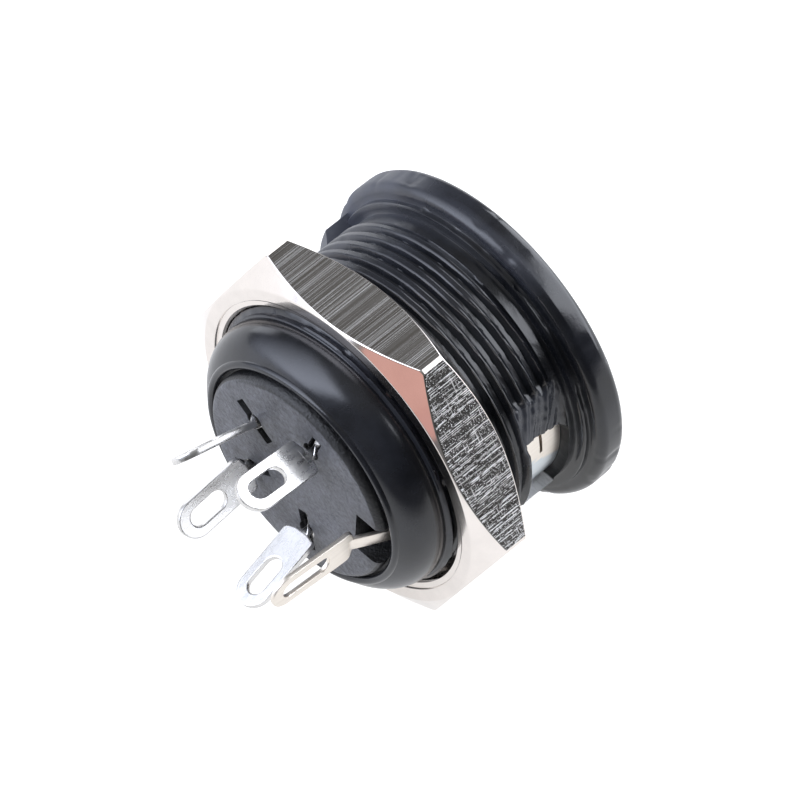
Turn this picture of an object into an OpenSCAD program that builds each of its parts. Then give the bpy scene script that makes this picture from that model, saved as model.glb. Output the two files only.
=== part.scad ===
// Panel socket for a round locking power plug: threaded plastic barrel with a round flange,
// an insulator that carries four socket contacts with solder lugs, a plug shield with an
// earth lug, and a hexagonal clamp nut.
// The barrel's axis lies along Y. The plug enters from -Y, the solder lugs point to +Y, and the
// origin is the centre of the flange's rear face, where the panel seats.
// Lengths called "start", "end" or "face" are measured along the axis, rearward from that seat.

/* [Housing] */
// Wall of the barrel between the shield's bore and the thread's crest
barrel_wall = 2.45; // [2.2:0.05:3]
// Step from the thread's crest out to the flange's rim, which is also the nut's wall at its flats
flange_step = 1.5; // [1.3:0.1:2.5]
// Thickness of the front flange
flange_t = 2; // [1.6:0.1:3]
// Rounding of the flange's outer edges
flange_round = 0.6; // [0.2:0.05:0.75]
// Height of the collar that centres the barrel in the panel, above the thread
collar_step = 0.5; // [0.2:0.05:0.6]
// Length of the collar
collar_l = 0.45; // [0.2:0.05:0.8]
// Depth of the relief between the collar and the thread
neck_depth = 0.2; // [0.1:0.05:0.4]
// Length of the relief
neck_l = 0.95; // [0.5:0.05:1.5]
// Length of the thread
thread_l = 9.4; // [9:0.1:12]
// Pitch of the thread, whose turns are modelled as rings
thread_pitch = 0.925; // [0.7:0.025:1.2]
// Chamfer at the thread's ends
thread_chamfer = 0.3; // [0.1:0.05:0.5]
// Wall of the domed rear end around the insulator's disc
dome_wall = 1.55; // [1.35:0.05:1.7]
// Length of the domed rear end
dome_l = 2.8; // [2.6:0.1:3.4]
// Rounding of the dome's shoulder
dome_round = 2.2; // [1.6:0.1:2.4]
// Radius of the bead rolled around the rear opening
bead_r = 0.28; // [0.2:0.02:0.34]
// Height of the bead above the dome
bead_rise = 0.08; // [0.04:0.02:0.14]
// Chamfer of the plug mouth
mouth_chamfer = 0.5; // [0.2:0.05:0.8]

/* [Lock window and key] */
// Angle of the key side about the axis, from +X towards +Z
key_turn = 185.5; // [150:0.5:210]
// Width of the lock window, around the barrel
window_w = 7.8; // [5:0.1:9]
// Height of the lock window, along the barrel
window_h = 3.05; // [2.6:0.05:3.6]
// Distance from the panel seat to the lock window
window_start = 1.35; // [1:0.05:2.5]
// Rounding of the lock window's corners
window_round = 1.1; // [0.4:0.1:1.2]
// Width of the rib that stops the socket turning in the panel
rib_w = 5.7; // [3:0.1:7]
// Height of the rib above the thread
rib_h = 0.9; // [0.6:0.05:1]
// Length of the rib at its full height
rib_l = 1.8; // [1:0.1:2.1]
// Length of the rib's sloped end
rib_slope = 0.7; // [0.3:0.1:0.8]

/* [Clamp nut] */
// Thickness of the nut
nut_t = 3.9; // [3.3:0.1:4.2]
// Depth of the chamfer at the nut's corners
nut_chamfer = 1.2; // [0.6:0.1:1.5]
// Narrowing of the nut's end faces inside its flats
nut_face_step = 0.1; // [0.05:0.05:0.3]
// Play between the nut and the thread, on the radius
nut_play = 0.1; // [0.05:0.01:0.2]
// Depth of the countersinks at the nut's bore
nut_sink = 0.5; // [0.2:0.05:0.6]
// Distance from the panel seat to the nut
nut_start = 6.8; // [2.7:0.1:6.9]

/* [Plug space and shield] */
// Diameter of the plug's shell
plug_d = 13.2; // [12.4:0.1:14.2]
// Play between the plug's shell and the shield, on the radius
plug_play = 0.1; // [0.05:0.01:0.2]
// Width of the ring-shaped space that takes the plug's shell
plug_gap = 1; // [0.8:0.05:1.3]
// Wall of the shield
shield_wall = 0.3; // [0.2:0.02:0.4]
// Thickness of the ledge that holds the shield in front
ledge_t = 1.1; // [0.9:0.1:1.3]
// Length of the latch slit across the shield
latch_l = 3.4; // [2:0.1:5]
// Width of the latch slit
latch_w = 0.25; // [0.15:0.05:0.5]

/* [Insulator] */
// Distance of the insulator's front face behind the flange's
core_recess = 1; // [0.6:0.1:1.5]
// Thickness of the insulator's front wall
core_wall = 1.6; // [1:0.1:2.2]
// Width of the keyway along the insulator
keyway_w = 2.6; // [2:0.1:3]
// Depth of the keyway
keyway_depth = 1.2; // [0.8:0.1:1.5]
// Thickness of the rear disc that is held under the bead
disc_t = 2; // [1.5:0.1:2.6]
// Width of the ledge that the disc seats on
disc_ledge = 0.45; // [0.3:0.05:0.5]
// Thickness of the lip that holds the disc
lip_t = 0.4; // [0.35:0.05:0.6]
// Reach of the lip over the disc's rim
lip_reach = 0.3; // [0.15:0.05:0.4]
// Height of the terminal face above the dome
face_rise = 0.5; // [0.2:0.05:0.8]
// Rounding of the terminal face's edge
face_round = 0.5; // [0.2:0.05:0.6]
// Gap between the lip and the terminal face's edge
face_gap = 0.2; // [0.1:0.05:0.35]
// Width of the notch for the earth lug
notch_w = 3.2; // [2.8:0.1:3.6]
// Depth of the notch, inward from the terminal face's edge
notch_reach = 2.1; // [1.9:0.05:2.4]
// Depth of the notch below the terminal face
notch_depth = 1.6; // [1:0.1:1.8]

/* [Contacts] */
// Wall of the insulator outside the contacts' sleeves
contact_wall = 0.45; // [0.3:0.05:0.6]
// Angle between the key side and the near pair of contacts
near_angle = 74; // [70:1:78]
// Angle between the key side and the far pair of contacts
far_angle = 146; // [140:1:150]
// Diameter of the plug's pins
pin_d = 1.45; // [1.2:0.05:1.6]
// Play between a pin and its contact, on the radius
pin_play = 0.025; // [0.01:0.005:0.05]
// Wall of the contact's sleeve
sleeve_wall = 0.4; // [0.3:0.05:0.5]
// Length of the contact's sleeve
sleeve_l = 6.6; // [5:0.1:7.5]
// Width of the slit that makes the sleeve springy
sleeve_slit = 0.3; // [0.2:0.05:0.4]
// Thickness of the contact strip
strip_t = 0.4; // [0.3:0.05:0.5]
// Radial length of the slots in the terminal face
slot_l = 3.05; // [2.7:0.05:3.2]
// Width of these slots
slot_w = 0.75; // [0.55:0.05:1]
// Depth of these slots, before they narrow to the strip
slot_depth = 1; // [0.5:0.1:1.5]

/* [Solder lugs] */
// Width of a solder lug
lug_w = 2.45; // [2.1:0.05:2.6]
// Reach of a solder lug beyond the terminal face
lug_l = 5.75; // [5.4:0.05:8]
// Width of the twisted neck at a lug's root
neck_w = 1; // [0.8:0.05:1.3]
// Reach of the twisted neck beyond the terminal face
twist_l = 0.35; // [0.3:0.05:0.8]
// Length of the twisted neck below the terminal face
twist_sink = 0.3; // [0.2:0.05:0.5]
// Width of the wire hole in a lug
wire_hole_w = 1.25; // [0.8:0.05:1.4]
// Length of the wire hole
wire_hole_l = 2.6; // [1.6:0.1:3]
// Rim of metal between the wire hole and the lug's tip
lug_rim = 0.8; // [0.4:0.05:0.9]
// Outward lean of each solder lug, in degrees
lug_lean = [11, 8, 7, 22]; // [-5:1:24]
// Sideways lean of each solder lug, in degrees
lug_side = [0, -9, -1, 4]; // [-10:1:10]
// Inward step of the earth lug from the shield's wall
earth_step = 1.45; // [0.4:0.05:1.6]
// Length over which the earth lug steps inward
earth_step_l = 2.8; // [2.4:0.1:3.2]
// Reach of the earth lug's blade beyond its step
earth_l = 6.2; // [5.2:0.1:8]
// Length of the earth lug's wire hole
earth_hole_l = 3.6; // [1.6:0.1:3.8]
// Outward lean of the earth lug, in degrees
earth_lean = -2; // [-5:1:5]
// Sideways lean of the earth lug, in degrees
earth_side = -2; // [-5:1:5]

/* [Hidden] */
$fn = 64;

// Gap between pieces that are pushed together
fit_gap = 0.05;
// Overshoot of a cut past the face it opens
cut = 0.5;
// Overlap of shapes that are joined into one piece
weld = 0.05;

// Radii, from the plug's shell outward
shield_in_r = plug_d / 2 + plug_play;
shield_out_r = shield_in_r + shield_wall;
shield_bore_r = shield_out_r + fit_gap;
thread_r = shield_bore_r + barrel_wall;
neck_r = thread_r - neck_depth;
collar_r = thread_r + collar_step;
flange_r = thread_r + flange_step;
disc_r = shield_bore_r + disc_ledge;
dome_r = disc_r + fit_gap + dome_wall;
lip_r = disc_r + fit_gap - lip_reach;
face_r = lip_r - face_gap;

// Places along the axis
thread_start = collar_l + neck_l;
thread_end = thread_start + thread_l;
dome_end = thread_end + dome_l;
shield_front = ledge_t - flange_t;
core_front = core_recess - flange_t;
disc_end = dome_end - lip_t;
disc_start = disc_end - disc_t;
face_end = dome_end + face_rise;
window_mid = window_start + window_h / 2;
earth_bend = disc_start + 3 * shield_wall;

// Turns of the thread, with flanks that slope by half the profile's angle
thread_angle = 60;
thread_depth = thread_pitch / 2;
crest_w = thread_pitch / 4;
flank_w = thread_depth * tan(thread_angle / 2);
thread_grooves = floor((thread_l - 2 * thread_chamfer - crest_w) / thread_pitch);
first_groove = thread_start + thread_chamfer + (crest_w + thread_pitch) / 2;

// Contacts and lugs
contact_angles = [far_angle, -far_angle, near_angle, -near_angle];
socket_r = pin_d / 2 + pin_play;
sleeve_r = socket_r + sleeve_wall;
core_r = shield_in_r - plug_gap;
contact_circle_r = core_r - contact_wall - sleeve_r;
sleeve_start = core_front + core_wall;
sleeve_end = sleeve_start + sleeve_l;
sleeve_floor = sleeve_end - strip_t;
pin_hole_r = socket_r + sleeve_wall / 2;
pin_hole_lead = sleeve_wall;
earth_mid_r = (shield_in_r + shield_out_r) / 2;

// Turns the modelling axis, which is Z pointing rearward, to lie along Y
module lie() {
    rotate([-90, 0, 0]) children();
}

// As lie(), with X towards the key side
module keyed() {
    lie() rotate([0, 0, -key_turn]) children();
}

// At a contact's place: X outward from the axis, Y around it
module at_contact(i) {
    keyed() rotate([0, 0, contact_angles[i]]) translate([contact_circle_r, 0, 0]) children();
}

// Rectangle with its four corners rounded, centred
module rounded_plate(w, h, r) {
    square([w - 2 * r, h], center = true);
    square([w, h - 2 * r], center = true);
    for (x = [r - w / 2, w / 2 - r])
        for (y = [r - h / 2, h / 2 - r])
            translate([x, y]) circle(r = r);
}

// Half section of the flange, with both rim edges rounded
module flange_section() {
    straight = flange_t - 2 * flange_round;
    translate([0, -flange_t]) square([flange_r - flange_round, flange_t]);
    translate([0, flange_round - flange_t]) square([flange_r, straight]);
    for (y = [flange_round - flange_t, -flange_round])
        translate([flange_r - flange_round, y]) circle(r = flange_round);
}

// Half section of the domed rear end with the bead around its opening
module dome_section() {
    start = thread_end - weld;
    shoulder = dome_end - dome_round;
    translate([0, start]) square([dome_r - dome_round, dome_end - start]);
    translate([0, start]) square([dome_r, shoulder - start]);
    translate([dome_r - dome_round, shoulder]) circle(r = dome_round);
    translate([lip_r + bead_r, dome_end + bead_rise - bead_r]) circle(r = bead_r);
}

// Half section of one groove between two turns of the thread
module thread_groove() {
    root_w = thread_pitch - crest_w - 2 * flank_w;
    mouth_w = root_w + 2 * flank_w + 2 * weld * tan(thread_angle / 2);
    polygon([[-thread_depth, -root_w / 2], [-thread_depth, root_w / 2],
             [weld, mouth_w / 2], [weld, -mouth_w / 2]]);
}

// Half section of the collar, the relief and the threaded stretch
module barrel_section() {
    run_out_r = thread_r - thread_chamfer;
    translate([0, -flange_round]) square([collar_r, flange_round + collar_l]);
    square([neck_r, thread_start + weld]);
    difference() {
        polygon([[0, thread_start], [run_out_r, thread_start], [thread_r, thread_start + thread_chamfer],
                 [thread_r, thread_end - thread_chamfer], [run_out_r, thread_end], [0, thread_end]]);
        for (k = [0 : thread_grooves - 1])
            translate([thread_r, first_groove + k * thread_pitch]) thread_groove();
    }
}

// Half section of everything that is hollow inside the housing
module hollow_section() {
    front = -flange_t;
    lead_in_r = shield_in_r + mouth_chamfer;
    translate([0, front - cut]) square([shield_in_r, dome_end - front]);
    polygon([[0, front - cut], [lead_in_r + cut, front - cut], [shield_in_r, front + mouth_chamfer],
             [0, front + mouth_chamfer]]);
    translate([0, shield_front]) square([shield_bore_r, disc_end - shield_front]);
    translate([0, disc_start]) square([disc_r + fit_gap, disc_t]);
    translate([0, disc_start]) square([lip_r, face_end + cut - disc_start]);
}

// Rib opposite the key side, sloped down at its rear end
module turn_rib() {
    inner_r = shield_bore_r + cut;
    rib_r = thread_r + rib_h;
    rib_end = rib_l + rib_slope;
    intersection() {
        rotate_extrude()
            polygon([[inner_r, -cut], [rib_r, -cut], [rib_r, rib_l], [thread_r, rib_end],
                     [inner_r, rib_end]]);
        translate([-flange_r, -rib_w / 2, -cut]) cube([flange_r, rib_w, rib_end + 2 * cut]);
    }
}

module housing() {
    color("#1b1c1f")
        keyed() difference() {
            union() {
                rotate_extrude() {
                    flange_section();
                    barrel_section();
                    dome_section();
                }
                turn_rib();
            }
            rotate_extrude() hollow_section();
            translate([core_r, 0, window_mid]) rotate([0, 90, 0])
                linear_extrude(height = flange_r)
                    rounded_plate(window_h, window_w, window_round);
        }
}

// Pin hole, sleeve chamber and strip slot of one contact, as a cut
module contact_chamber() {
    translate([0, 0, core_front - cut]) cylinder(r = pin_hole_r, h = core_wall + 2 * cut);
    translate([0, 0, core_front])
        cylinder(r1 = pin_hole_r + pin_hole_lead, r2 = pin_hole_r, h = pin_hole_lead);
    translate([0, 0, sleeve_start]) cylinder(r = sleeve_r + fit_gap, h = sleeve_l);
    translate([-lug_w / 2 - fit_gap, -strip_t / 2 - fit_gap, sleeve_floor])
        cube([lug_w + 2 * fit_gap, strip_t + 2 * fit_gap, face_end - sleeve_floor]);
    translate([-slot_l / 2, -slot_w / 2, face_end - slot_depth])
        cube([slot_l, slot_w, slot_depth + cut]);
    translate([0, 0, face_end - twist_sink])
        cylinder(r = norm([neck_w, strip_t]) / 2 + fit_gap, h = twist_sink + cut);
}

module insulator() {
    color("#3a3b3e")
        difference() {
            keyed() difference() {
                rotate_extrude() {
                    translate([0, core_front]) square([core_r, disc_end - core_front]);
                    translate([0, disc_start]) square([disc_r, disc_t]);
                    translate([0, disc_start]) square([face_r, face_end - face_round - disc_start]);
                    translate([0, disc_start]) square([face_r - face_round, face_end - disc_start]);
                    translate([face_r - face_round, face_end - face_round]) circle(r = face_round);
                }
                translate([core_r - keyway_depth, -keyway_w / 2, core_front - cut])
                    cube([plug_gap + keyway_depth, keyway_w, disc_start - core_front + cut]);
                translate([face_r - notch_reach, -notch_w / 2, face_end - notch_depth])
                    cube([disc_r, notch_w, notch_depth + cut]);
                translate([earth_mid_r - 2 * shield_wall, -neck_w / 2 - fit_gap, disc_start - cut])
                    cube([disc_r, neck_w + 2 * fit_gap, disc_t + cut]);
            }
            for (i = [0 : len(contact_angles) - 1])
                at_contact(i) contact_chamber();
        }
}

// Flat outline of a solder lug, rising from its root along Y, with a rounded tip and a wire hole
module lug_outline(l, hole_l) {
    shoulder = (lug_w - neck_w) / 8;
    hole_r = wire_hole_w / 2;
    hole_end = l - lug_rim - hole_r;
    hole_start = hole_end - hole_l + wire_hole_w;
    difference() {
        union() {
            polygon([[-neck_w / 2, -weld], [neck_w / 2, -weld], [lug_w / 2, shoulder],
                     [lug_w / 2, l - lug_w / 2], [-lug_w / 2, l - lug_w / 2], [-lug_w / 2, shoulder]]);
            translate([0, l - lug_w / 2]) circle(d = lug_w);
        }
        for (y = [hole_start, hole_end])
            translate([0, y]) circle(r = hole_r);
        translate([-hole_r, hole_start]) square([wire_hole_w, hole_end - hole_start]);
    }
}

// Solder lug standing along Z with its flat side facing X, leaning towards X and sideways
module lug(l, hole_l, t, lean, side) {
    rotate([side, lean, 0]) rotate([90, 0, 90])
        linear_extrude(height = t, center = true)
            lug_outline(l, hole_l);
}

// Split sleeve for a plug pin, open in front
module contact_sleeve() {
    difference() {
        translate([0, 0, sleeve_start]) cylinder(r = sleeve_r, h = sleeve_l);
        translate([0, 0, sleeve_start - cut]) cylinder(r = socket_r, h = sleeve_floor - sleeve_start + cut);
        translate([-sleeve_r - cut, -sleeve_slit / 2, sleeve_start - cut])
            cube([sleeve_r + cut, sleeve_slit, sleeve_floor - sleeve_start + cut]);
    }
}

module contact(i) {
    neck_start = face_end - twist_sink;
    lug_root = face_end + twist_l;
    color("#d9dadb")
        at_contact(i) {
            contact_sleeve();
            translate([-lug_w / 2, -strip_t / 2, sleeve_floor])
                cube([lug_w, strip_t, neck_start - sleeve_floor]);
            translate([0, 0, neck_start])
                linear_extrude(height = lug_root - neck_start, twist = 90, slices = 6, segments = 4)
                    square([neck_w, strip_t], center = true);
            translate([0, 0, lug_root]) lug(lug_l - twist_l, wire_hole_l, strip_t, lug_lean[i], lug_side[i]);
        }
}

// Straight leg of a bent strip's section, with round ends
module strip_leg(p, q, t) {
    d = q - p;
    translate(p) rotate(atan2(d.y, d.x)) translate([0, -t / 2]) square([norm(d), t]);
    translate(p) circle(d = t);
    translate(q) circle(d = t);
}

module shield() {
    root = [earth_mid_r, disc_start - 2 * shield_wall];
    bend = [earth_mid_r, earth_bend];
    tip = [earth_mid_r - earth_step, earth_bend + earth_step_l];
    color("#c9cacc")
        keyed() {
            difference() {
                translate([0, 0, shield_front]) cylinder(r = shield_out_r, h = disc_start - shield_front);
                translate([0, 0, shield_front - cut])
                    cylinder(r = shield_in_r, h = disc_start - shield_front + 2 * cut);
                translate([core_r, -window_w / 4, window_mid])
                    cube([flange_r, latch_l, latch_w]);
            }
            rotate([90, 0, 0]) linear_extrude(height = neck_w, center = true) {
                strip_leg(root, bend, shield_wall);
                strip_leg(bend, tip, shield_wall);
            }
            translate([tip.x, 0, tip.y]) lug(earth_l, earth_hole_l, shield_wall, earth_lean, earth_side);
        }
}

module hex_nut() {
    corner_r = flange_r / cos(30);
    nut_face_r = flange_r - nut_face_step;
    bore_r = thread_r + nut_play;
    color("#b9b8b2")
        lie() translate([0, 0, nut_start]) difference() {
            intersection() {
                cylinder(r = corner_r, h = nut_t, $fn = 6);
                rotate_extrude()
                    polygon([[0, 0], [nut_face_r, 0], [corner_r, nut_chamfer],
                             [corner_r, nut_t - nut_chamfer], [nut_face_r, nut_t], [0, nut_t]]);
            }
            translate([0, 0, -cut]) cylinder(r = bore_r, h = nut_t + 2 * cut);
            cylinder(r1 = bore_r + nut_sink, r2 = bore_r, h = nut_sink);
            translate([0, 0, nut_t - nut_sink]) cylinder(r1 = bore_r, r2 = bore_r + nut_sink, h = nut_sink);
        }
}

housing();
insulator();
contact(0);  // contact_1
contact(1);  // contact_2
contact(2);  // contact_3
contact(3);  // contact_4
shield();
hex_nut();
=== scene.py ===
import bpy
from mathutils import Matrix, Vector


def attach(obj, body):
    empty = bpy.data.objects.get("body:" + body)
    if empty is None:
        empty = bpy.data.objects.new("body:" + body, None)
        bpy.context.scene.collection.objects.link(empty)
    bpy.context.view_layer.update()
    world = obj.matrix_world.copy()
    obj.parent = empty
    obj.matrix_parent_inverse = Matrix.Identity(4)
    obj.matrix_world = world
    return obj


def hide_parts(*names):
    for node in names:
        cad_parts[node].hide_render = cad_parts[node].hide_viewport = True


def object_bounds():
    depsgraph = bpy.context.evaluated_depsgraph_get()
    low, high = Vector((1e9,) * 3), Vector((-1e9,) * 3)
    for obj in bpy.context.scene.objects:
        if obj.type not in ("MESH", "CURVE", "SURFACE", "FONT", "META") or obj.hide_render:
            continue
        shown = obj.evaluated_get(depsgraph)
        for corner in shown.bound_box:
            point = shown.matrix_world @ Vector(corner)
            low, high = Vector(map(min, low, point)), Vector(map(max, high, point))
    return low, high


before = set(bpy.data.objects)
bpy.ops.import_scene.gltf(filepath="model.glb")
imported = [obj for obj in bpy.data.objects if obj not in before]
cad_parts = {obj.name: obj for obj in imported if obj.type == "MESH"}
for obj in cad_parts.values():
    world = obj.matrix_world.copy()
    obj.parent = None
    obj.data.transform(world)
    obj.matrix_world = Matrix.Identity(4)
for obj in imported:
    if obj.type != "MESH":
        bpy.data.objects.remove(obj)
CAD_BOX = [list(corner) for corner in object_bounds()]

import math

import bmesh
import bpy
import numpy as np
from bpy.props import FloatProperty, FloatVectorProperty, IntProperty, PointerProperty
from mathutils import Matrix, Vector, noise

bl_info = {
    "name": "Panel Socket Dressing",
    "version": (1, 0, 0),
    "blender": (4, 5, 0),
    "location": "View3D > Sidebar > Socket",
    "description": "Dresses the packed panel socket with its thread, nut, lugs, finishes and stage",
    "category": "Object",
}

# Sizes are millimetres, as in the part's source, and become metres when a mesh is made. Angles are
# degrees, and those around the barrel run from +X towards +Z.
MM = 0.001
# values that differ by less are the same
SAME = 1e-6
# the side of the key and the lock window, the rib opposite it, and where the mould's halves meet
KEY_TURN = 185.5
RIB_TURN = KEY_TURN - 180
PARTING = 112.0

# barrel, from the plug mouth to the bead around the insert
FLANGE_R, FLANGE_FRONT, FLANGE_ROUND = 11.0, -2.0, 0.6
COLLAR_R, COLLAR_END, NECK_R = 10.0, 0.45, 9.3
THREAD_R, THREAD_DEEP, THREAD_START, THREAD_END, THREAD_PHASE = 9.5, 0.45, 1.4, 10.8, 0.129
DOME_R, DOME_ROUND, DOME_END = 9.1, 2.2, 13.6
BEAD_R, BEAD_Y, BEAD_ROUND = 7.53, 13.4, 0.28
SEAT_R, SEAT_END, FACE_END, DISC_START = 7.55, 13.2, 14.1, 11.2
RIB_R, RIB_SIDE, RIB_END, RIB_SLOPE = 10.4, 2.85, 2.5, 0.7
RIB_HALF = math.degrees(math.asin(RIB_SIDE / RIB_R))
# mesh rows along the thread where it shows and under the nut, and the columns' least distance in degrees
ROW_STEP, HIDDEN_STEP, COLUMN_GAP = 0.036, 0.1, 0.3

# lock window: its two ends along the barrel, half its width around it and its rounding
WINDOW_LOW, WINDOW_HIGH, WINDOW_SIDE, WINDOW_ROUND = 1.0, 4.25, 3.9, 1.1
# moulding flash left across the window: the angle and radius where it starts, and its torn edge's
# radius and distance from the window's middle at the window's two ends
FLASH_START, FLASH_R, TORN_R, TORN_LOW, TORN_HIGH = 150.5, 9.36, 9.2, -1.7, -2.85
# where the thread runs out smoothly beyond the window's other end, and its radius there
PLAIN_START, PLAIN_END, PLAIN_R = 203, 224, 9.38

# clamp nut: half its width over flats, its ends, its countersink and its chamfer
NUT_R, NUT_START, NUT_END, NUT_SINK, NUT_CHAMFER = 11.0, 6.8, 10.7, 10.1, 1.2
NUT_CORNER = NUT_R / math.cos(math.radians(30))
NUT_MINOR, NUT_MAJOR = 9.1, 9.6
# wear of the nut's six flats, from the one at 30 degrees on
FLAT_WEAR = (0.4, 0.12, 1.0, 0.6, 0.3, 0.7)

# shield tube with its slit, and the pressed-out latch pad that shows in the window, with a slit of its own
SHIELD_IN, SHIELD_OUT, SHIELD_BORE, SHIELD_START = 6.7, 7.0, 7.05, -0.9
SHIELD_MID = (SHIELD_IN + SHIELD_OUT) / 2
SLIT_LOW, SLIT_HIGH, SLIT_SIDES = 2.875, 3.125, (-1.45, 1.95)
PAD_R, PAD_ROOT, PAD_END, PAD_GAP = 8.6, 6.9, 3.72, 0.06
PAD_SLIT_LOW, PAD_SLIT_HIGH, PAD_SLIT_END, PAD_SLIT_DEEP = 2.52, 2.72, -0.31, 0.5
# earth strip: the knee and the end of its slope, how far it slopes inward, its thickness, and its lug's
# length and hole
EARTH_KNEE, EARTH_END, EARTH_IN, EARTH_T, EARTH_L, EARTH_HOLE = 12.1, 14.9, 1.45, 0.3, 6.2, 3.6

# contacts: their angles from the key side, their circle, and how far each lug leans outward and sideways
CONTACT_TURNS, CONTACT_CIRCLE = (146.0, -146.0, 74.0, -74.0), 4.1
LUG_LEANS = ((11, 0), (8, -9), (7, -1), (22, 4))
SLEEVE_OUT, SLEEVE_IN, SLEEVE_SLOT, SLEEVE_START, SLEEVE_END = 1.15, 0.75, 0.3, 0.6, 6.85
CAP_START, CAP_END, STRIP_START, STRIP_END, STRIP_T = 6.8, 7.2, 6.9, 13.8, 0.4
TWIST_START, TWIST_RISE, LUG_START = 13.72, 0.78, 14.45
LUG_L, LUG_W, LUG_NECK, LUG_RIM, HOLE_L, HOLE_W = 5.4, 2.45, 1.0, 0.8, 2.6, 1.25
STAMPED_EDGE = 0.05

# camera fitted to the photograph: its turn, rise and roll, its distance in metres, and in pixels the
# image's side, the focal length and where the place AIM_Y on the barrel's axis shows
VIEW_TURN, VIEW_RISE, VIEW_ROLL, VIEW_DISTANCE = 227.32, 50.73, -3.0, 0.6
IMAGE_SIDE, FOCAL, AIM_ACROSS, AIM_DOWN, AIM_Y = 800, 10377.7, 351.55, 434.25, 9.5
SENSOR = 36.0
# light table's radius in metres
FLOOR_R = 0.7


def linear(code):
    """An sRGB hex colour as linear red, green and blue."""
    parts = [int(code[k : k + 2], 16) / 255 for k in (1, 3, 5)]
    return tuple(c / 12.92 if c <= 0.04045 else ((c + 0.055) / 1.055) ** 2.4 for c in parts)


def length_setting(label, about, start, low, high):
    """A length setting in metres."""
    return FloatProperty(name=label, description=about, default=start, min=low, max=high,
                         unit="LENGTH", precision=6)


def colour_setting(label, about, code):
    """A colour setting that starts as an sRGB hex colour."""
    return FloatVectorProperty(name=label, description=about, default=linear(code), min=0, max=1,
                               subtype="COLOR", size=3)


def glow_setting(label, about, start):
    """A brightness setting."""
    about = "Brightness of the " + about
    return FloatProperty(name=label, description=about, default=start, min=0, max=20)


class SocketSizes(bpy.types.PropertyGroup):
    """Sizes of the dressed details."""

    pitch: length_setting("Thread Pitch", "Rise of the thread in one turn", 0.000925, 0.0005, 0.002)
    ripple: length_setting("Moulding Ripple", "Unevenness of the thread's crests", 0.000012, 0, 0.00005)
    dents: length_setting("Rim Dents", "Depth of the dents in the flange's rim", 0.00004, 0, 0.0002)
    corner: length_setting("Nut Corner", "Width of the nut's blunt corners", 0.00028, 0, 0.0006)
    rim: length_setting("Nut Rim", "Rounding of flats into chamfers", 0.00005, 0.00002, 0.00015)
    edge: length_setting("Lug Edge", "Rounding of the stamped lugs' edges", 0.00007, 0.00002, 0.00014)
    columns: IntProperty(name="Barrel Columns", description="Mesh columns around the barrel",
                         default=288, min=96, max=360)


class SocketColours(bpy.types.PropertyGroup):
    """Colours of the finishes."""

    barrel: colour_setting("Barrel", "Moulded black plastic of the barrel", "#0b0c0f")
    insert: colour_setting("Insert", "Charcoal plastic of the terminal insert", "#434448")
    tin: colour_setting("Tin", "Tinned solder lugs", "#e9e7e4")
    shield: colour_setting("Shield", "Plated plug shield", "#f2ebe1")
    nickel: colour_setting("Nickel", "Nickel plate of the clamp nut", "#ede6e0")
    floor: colour_setting("Floor", "Pale studio floor", "#f4f4f4")


class StageSettings(bpy.types.PropertyGroup):
    """Brightness of the studio."""

    softbox: glow_setting("Softbox", "large softbox beyond the lugs", 5.6)
    panel: glow_setting("Panel", "panel in front of the flange", 4.4)
    side: glow_setting("Side Card", "card between the two", 2.0)
    low: glow_setting("Lug Cards", "small cards that light two lugs", 3.1)
    room: glow_setting("Dark Room", "grey room around the stage", 0.2)
    table: glow_setting("Light Table", "opal sheet under the part", 0.92)


# Mesh helpers


def point(r, y, turn):
    """A place at radius r and y along the axis, at an angle around the barrel, in metres."""
    a = math.radians(turn)
    return Vector((r * math.cos(a) * MM, y * MM, r * math.sin(a) * MM))


def key_axes():
    """Unit directions out through the lock window, and around the barrel at its middle."""
    return point(1 / MM, 0, KEY_TURN), point(1 / MM, 0, KEY_TURN + 90)


def arc(cx, cy, r, a0, a1, n):
    """n + 1 places on an arc around (cx, cy), as pairs."""
    turns = np.radians(np.linspace(a0, a1, n + 1))
    return [(cx + r * math.cos(t), cy + r * math.sin(t)) for t in turns]


def to_mesh(bm, name):
    """Turns a bmesh into a mesh, and frees it."""
    mesh = bpy.data.meshes.new(name)
    bm.to_mesh(mesh)
    bm.free()
    return mesh


def skin(bm, rings, closed):
    """Adds the quads between rings of vertices, and from the last ring back to the first if closed."""
    for a, b in zip(rings, rings[1:] + rings[:1] if closed else rings[1:]):
        for i in range(len(a)):
            k = (i + 1) % len(a)
            bm.faces.new((a[i], b[i], b[k], a[k]))


def grid_mesh(name, co):
    """A mesh from a rows x columns x 3 array of millimetres that closes both ways."""
    bm = bmesh.new()
    skin(bm, [[bm.verts.new(p) for p in row] for row in (co * MM).tolist()], closed=True)
    bmesh.ops.recalc_face_normals(bm, faces=bm.faces)
    return to_mesh(bm, name)


def add_object(name, data):
    """Puts an object with its data in the scene."""
    obj = bpy.data.objects.new(name, data)
    bpy.context.scene.collection.objects.link(obj)
    return obj


def piece(name, mesh, body, nodes, materials, sharp=35):
    """Puts a finished mesh in the scene as a piece that stands for its CAD nodes."""
    mesh.name = name
    mesh.shade_smooth()
    mesh.set_sharp_from_angle(angle=math.radians(sharp))
    obj = add_object(name, mesh)
    for m in materials:
        mesh.materials.append(m)
    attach(obj, body)
    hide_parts(*nodes)


def round_edges(bm, sharp, width):
    """Rounds the edges of a bmesh that are sharper than an angle."""
    edges = [e for e in bm.edges if len(e.link_faces) == 2 and e.calc_face_angle(0) > math.radians(sharp)]
    bmesh.ops.bevel(bm, geom=edges, offset=width, segments=2, profile=0.5, affect="EDGES",
                    clamp_overlap=True)


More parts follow.
